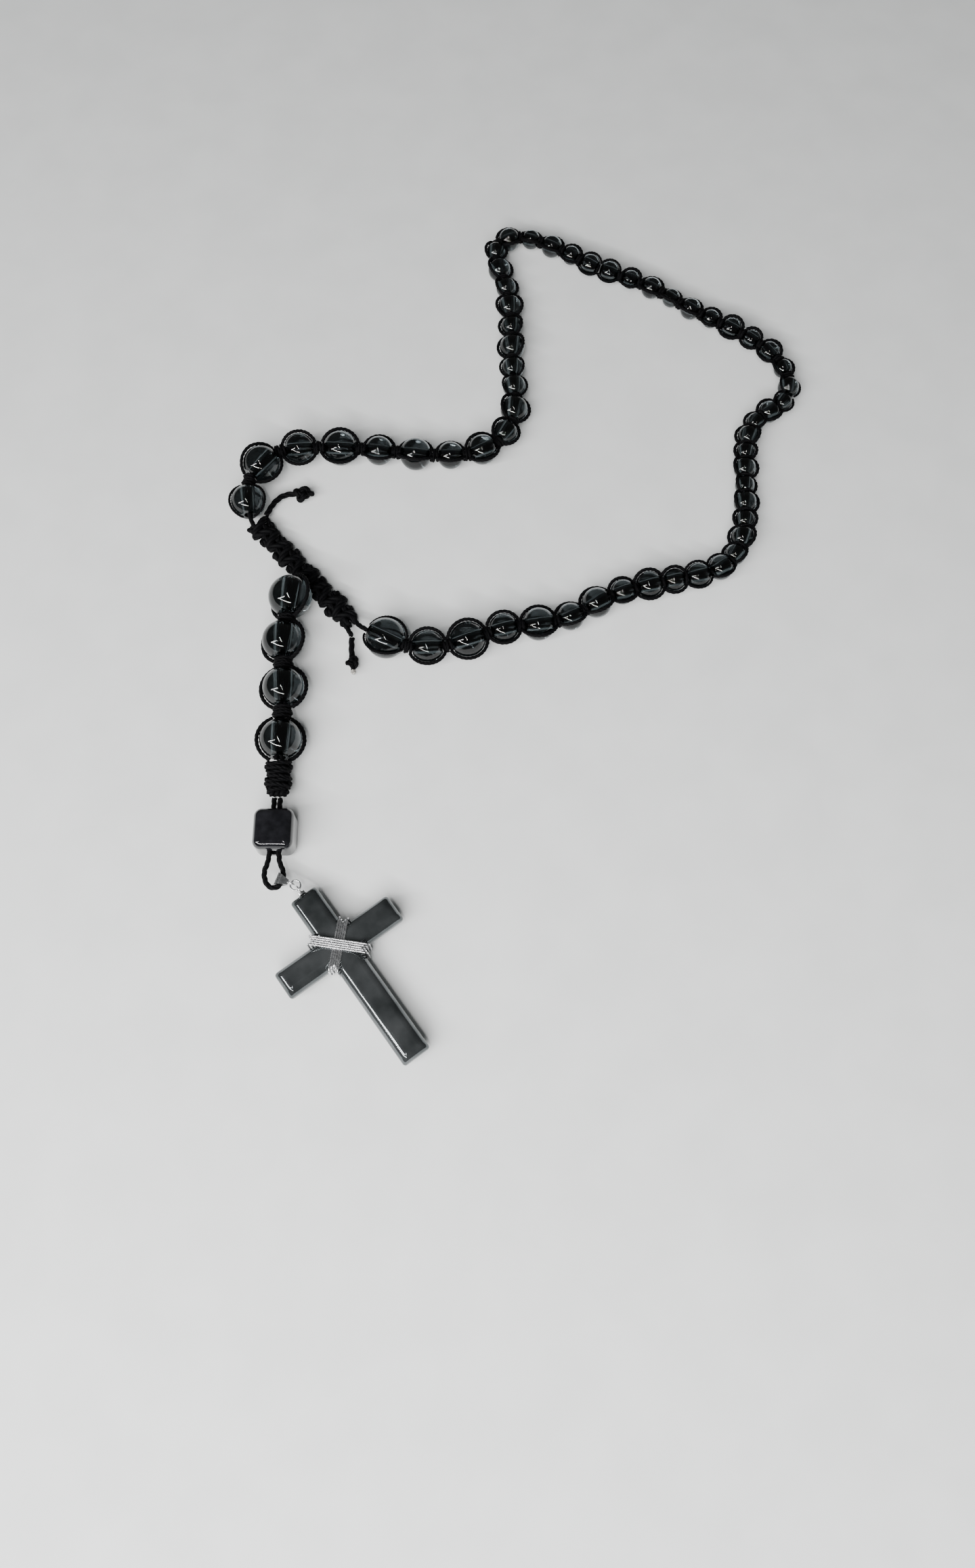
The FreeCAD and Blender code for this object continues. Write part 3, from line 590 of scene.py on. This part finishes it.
def dress_decade(strand, beads, decade, cord):
    """The core cord, side cords and knots of one decade."""
    group = [(number, bead) for number, bead in enumerate(beads) if bead.decade == decade]
    first, last = group[0][1], group[-1][1]
    start = first.station - first.half if decade else END_TRIM
    finish = last.station + last.half if decade < LAST_DECADE else strand.length - END_TRIM
    core = bmesh.new()
    laid = strand.between(start + HINGE_GAP, finish - HINGE_GAP, CORE_STEP)
    add_rope(core, laid, CORD_RADIUS)
    body = DECADE_BODIES[decade]
    name = f"core_cord_decade_{decade + 1}"
    add_piece(f"laid_{name}", core, body, cord, "black_cord", name)
    work = bmesh.new()
    for number, bead in group:
        level = UP.cross(bead.axis).normalized()
        over = bead.axis.cross(level)
        end_angle = math.asin(min(ARC_START / bead.radius, ARC_START_SINE_MOST))
        radius = HINGE_CORD_RADIUS if bead in (first, last) else SIDE_CORD_RADIUS
        for side in (1, -1):
            lift = SIDE_LIFT + SIDE_LIFT_SWING * math.sin(SIDE_LIFT_RHYTHM * number) * side
            out = level * side * math.cos(lift) + over * math.sin(lift)
            add_arc(work, bead, out, end_angle, radius)
    for (_, before), (_, after) in zip(group, group[1:]):
        here = before.centre + before.axis * before.half
        there = after.centre - after.axis * after.half
        gap = (there - here).length
        if gap > KNOT_ROOM:
            add_knot(
                work, here, there, half_width=1.55 * MM, half_height=1.3 * MM, radius=0.48 * MM
            )
        else:
            add_wrap(
                work, (here + there) / 2, (there - here).normalized(),
                half_width=1.9 * MM, half_height=1.75 * MM, lean=0, radius=0.42 * MM,
            )
    name = f"knotted_side_cords_decade_{decade + 1}"
    add_piece(f"laid_{name}", work, body, cord, "black_cord", name)


def make_closure(cord):
    """The sliding bar of square knots, with two small loose loops at its lower end."""
    start, finish = (at(place) for place in CLOSURE_ENDS)
    axis = (finish - start).normalized()
    level = UP.cross(axis).normalized()
    work = bmesh.new()
    add_sinnet(
        work, start, finish, half_width=2.45 * MM, half_height=1.25 * MM, radius=1.15 * MM,
        pitch=2.95 * MM, looseness=0.3,
    )
    length = (finish - start).length
    filler_trim = 0.5 * MM
    filler_radius = 0.8 * MM
    for across, rise in ((1.0, 0.75), (-1.0, 0.75), (1.0, -0.75), (-1.0, -0.75)):
        shift = level * across * MM + UP * rise * MM
        filler = Path([start + shift, start + shift + axis * length])
        add_rope(work, filler.between(filler_trim, length - filler_trim, CORE_STEP), filler_radius)
    loop_offset = 2.6 * MM
    for along, side in ((0.80, 1), (0.90, -1)):
        centre = start + axis * length * along + level * side * loop_offset
        add_wrap(
            work, centre, UP, half_width=1.35 * MM, half_height=1.0 * MM, lean=0.25 * MM,
            radius=0.4 * MM,
        )
    add_piece(
        "laid_closure", work, "closure_side_of_strand", cord, "black_cord", "closure_sliding_knots"
    )


def make_tail(name, body, places, knot_reach, knot_radius, cord, tip):
    """A free cord end: the cord, its stop knot, a short stub past the knot, and its cap."""
    path = Path(spline_points(places))
    end = at(places[-1])
    along = (end - at(places[-2])).normalized()
    work = bmesh.new()
    add_rope(work, path.between(TAIL_START, path.length), TAIL_RADIUS)
    overhand_knot(work, end, along, knot_reach, knot_radius)
    stub = Path([end, end + along * STUB_LENGTH])
    add_rope(work, stub.between(0, stub.length), STUB_RADIUS)
    add_piece(f"laid_{name}", work, body, cord, "black_cord", name)
    cap = bmesh.new()
    bmesh.ops.create_icosphere(cap, subdivisions=3, radius=CAP_RADIUS)
    rate_x, rate_y = CAP_LUMP_RATES
    for vertex in cap.verts:
        vertex.co *= 1 + CAP_LUMP * math.sin(rate_x * vertex.co.x) * math.cos(rate_y * vertex.co.y)
        vertex.co += end + along * STUB_LENGTH
    add_piece(f"{name}_melted_tip", cap, body, tip, "black_cord")


# ---------------------------------------------------------------- the drop


def two_cords(mesh, start, finish):
    """The doubled cord, its two parts side by side."""
    axis = (finish - start).normalized()
    level = UP.cross(axis).normalized() * TWIN_OFFSET
    for side in (-1, 1):
        path = Path([start + level * side, finish + level * side])
        add_rope(mesh, path.between(0, path.length, CORE_STEP), TWIN_RADIUS)


def dress_drop(index, cord):
    """The side cords of one drop bead, the two core cords, and the knot below it.

    The fourth bead's knot is the large one, a piece of its own.
    """
    bead = beads_of(f"drop_bead_{index + 1}")[0]
    top = at(DROP_PIVOTS[index])
    foot = at(DROP_PIVOTS[index + 1]) if index < LAST_DROP else at(BLOCK_TOP)
    axis = (foot - top).normalized()
    bead.axis = axis
    work = bmesh.new()
    degrees = 35 - 14 * index
    out = Matrix.Rotation(math.radians(degrees), 3, axis) @ UP.cross(axis).normalized()
    end_angle = math.asin(DROP_ARC_START / bead.radius)
    for side in (out, -out):
        add_arc(work, bead, side, end_angle, DROP_SIDE_RADIUS)
    two_cords(work, bead.centre - axis * (bead.half + 0.1 * MM), foot - axis * 0.3 * MM)
    if index < LAST_DROP:
        room = (foot - bead.centre).length - bead.half
        above = foot - axis * 0.8 * room
        below = foot + axis * 0.6 * room
        add_knot(
            work, above, below, half_width=2.2 * MM, half_height=1.7 * MM, radius=0.5 * MM
        )
    name = f"drop_cords_{index + 1}"
    add_piece(f"laid_{name}", work, DROP_BODIES[index], cord, "black_cord", name)


def make_large_knot(cord):
    """A stack of square knots round three inner cords, the last knot narrower."""
    top = at(BLOCK_TOP)
    foot = at(DROP_PIVOTS[4])
    waist = top.lerp(foot, 0.76)
    axis = (foot - top).normalized()
    work = bmesh.new()
    knot_inset = axis * 0.6 * MM
    add_sinnet(
        work, top + knot_inset, waist,
        half_width=2.85 * MM, half_height=1.9 * MM, radius=0.7 * MM, pitch=1.15 * MM,
    )
    add_sinnet(
        work, waist, foot - knot_inset,
        half_width=2.2 * MM, half_height=1.7 * MM, radius=0.65 * MM, pitch=1.1 * MM,
    )
    inner_inset = axis * 0.4 * MM
    inner_radius = 1.2 * MM
    for across in (-1.3, 0, 1.3):
        shift = UP.cross(axis).normalized() * across * MM
        path = Path([top + inner_inset + shift, foot - inner_inset + shift])
        add_rope(work, path.between(0, path.length, CORE_STEP), inner_radius)
    add_piece("laid_large_knot", work, "fourth_drop_link", cord, "black_cord", "large_knot")


def make_end_loop(cord):
    """The cord that goes down through the cuboid, round the end loop and back up."""
    path = Path(spline_points(LOOP_CORD))
    work = bmesh.new()
    add_rope(work, path.between(0, path.length), CORD_RADIUS)
    add_piece("laid_end_loop", work, "end_loop", cord, "black_cord", "end_loop_cord")


def make_cross(material):
    """The CAD's cross with its edges polished round."""
    mesh = bmesh.new()
    mesh.from_mesh(nodes["cross_body"].data)
    bmesh.ops.remove_doubles(mesh, verts=mesh.verts, dist=WELD)
    bmesh.ops.dissolve_limit(mesh, angle_limit=FLAT_ANGLE, verts=mesh.verts, edges=mesh.edges)
    sharp = [
        edge for edge in mesh.edges
        if edge.is_manifold and edge.calc_face_angle() > SHARP_ANGLE
        and edge.calc_length() > SHORT_EDGE
    ]
    bmesh.ops.bevel(
        mesh, geom=sharp, offset=CROSS_ROUNDING, offset_type="OFFSET", segments=5, profile=0.5,
        affect="EDGES", clamp_overlap=True,
    )
    piece = add_piece(
        "polished_cross", mesh, "wrapped_cross", material, "polished_hematite", "cross_body"
    )
    piece.modifiers.new("flat_faces", "WEIGHTED_NORMAL").keep_sharp = True


# ---------------------------------------------------------------- room, lights and camera


def make_floor():
    mesh = bpy.data.meshes.new("floor")
    corners = [
        (across * FLOOR_REACH, deep * FLOOR_REACH, 0)
        for across, deep in ((-1, -1), (1, -1), (1, 1), (-1, 1))
    ]
    mesh.from_pydata(corners, [], [(0, 1, 2, 3)])
    material, shader = new_material("pale_floor", color=(0.72, 0.73, 0.725), roughness=0.6)
    spots = noise(material, scale=60.0)
    grain = ramp(material, spots, low=(0.7, 0.71, 0.705), high=(0.74, 0.75, 0.745))
    material.node_tree.links.new(grain, shader.inputs["Base Color"])
    mesh.materials.append(material)
    floor = bpy.data.objects.new("floor", mesh)
    bpy.context.collection.objects.link(floor)


def add_light(name, place, target, size, power):
    """A rectangular lamp, size being its width and height in metres."""
    data = bpy.data.lights.new(name, "AREA")
    data.shape = "RECTANGLE"
    data.size, data.size_y = size
    data.energy = power
    lamp = bpy.data.objects.new(name, data)
    bpy.context.collection.objects.link(lamp)
    lamp.location = place
    lamp.rotation_mode = "QUATERNION"
    lamp.rotation_quaternion = (Vector(target) - Vector(place)).to_track_quat("-Z", "Y")
    return lamp


def make_lights():
    world = bpy.data.worlds.new("studio")
    world.use_nodes = True
    background = world.node_tree.nodes["Background"]
    background.inputs["Color"].default_value = (0.8, 0.83, 0.83, 1)
    background.inputs["Strength"].default_value = 0.12
    bpy.context.scene.world = world
    fill = add_light(
        "soft_fill", (-0.12, -0.46, 0.46), (-0.02, -0.36, 0.0), size=(0.5, 0.36), power=5.6
    )
    fill.visible_glossy = False
    add_light("front_strip", (-0.33, -0.68, 0.52), TABLE_MIDDLE, size=(1.0, 0.024), power=8.0)
    left = add_light("left_strip", (-0.60, -0.36, 0.55), TABLE_MIDDLE, size=(0.6, 0.04), power=3.5)
    near = add_light("near_strip", (-0.10, -0.38, 0.95), TABLE_MIDDLE, size=(0.5, 0.014), power=3.0)
    for lamp, turn in ((left, LEFT_STRIP_TURN), (near, NEAR_STRIP_TURN)):
        spin = Matrix.Rotation(math.radians(turn), 3, "Z").to_quaternion()
        lamp.rotation_quaternion = lamp.rotation_quaternion @ spin


def make_camera():
    data = bpy.data.cameras.new("camera")
    data.sensor_fit = "HORIZONTAL"
    data.sensor_width = SENSOR_WIDTH
    data.lens = LENS
    data.clip_start = 0.01
    camera = bpy.data.objects.new("camera", data)
    bpy.context.collection.objects.link(camera)
    camera.location = at(CAMERA_PLACE)
    camera.rotation_euler = (CAMERA_TILT, 0, 0)
    bpy.context.scene.camera = camera


# ---------------------------------------------------------------- putting it together

make_camera()
make_lights()
make_floor()
glass = smoky_glass()
cord = black_cord()
tip = melted_tip()
stone = hematite()
fittings = silver("silver_fittings", roughness=0.22)
wire = silver("silver_wire", roughness=0.24)

strand = Path(spline_points(STRAND_ROUTE))
beads = loop_beads(strand)
for decade in range(len(DECADE_BODIES)):
    dress_decade(strand, beads, decade, cord)
make_closure(cord)
make_tail(
    "upper_tail", "upper_cord_end", UPPER_TAIL,
    knot_reach=1.95 * MM, knot_radius=0.85 * MM, cord=cord, tip=cord,
)
make_tail(
    "lower_tail", "lower_cord_end", LOWER_TAIL,
    knot_reach=1.5 * MM, knot_radius=0.65 * MM, cord=cord, tip=tip,
)
for index in range(len(DROP_BODIES)):
    dress_drop(index, cord)
make_large_knot(cord)
make_end_loop(cord)
make_cross(stone)
for name in nodes:
    if name.startswith("decade_") or name.startswith("drop_bead_"):
        paint(name, glass)
paint("cuboid_bead", black_glass())
for name in ("pinch_bail", "link_ring", "cross_peg"):
    paint(name, fittings)
for name in ("lower_wire_wrap", "upper_wire_wrap"):
    paint(name, wire)
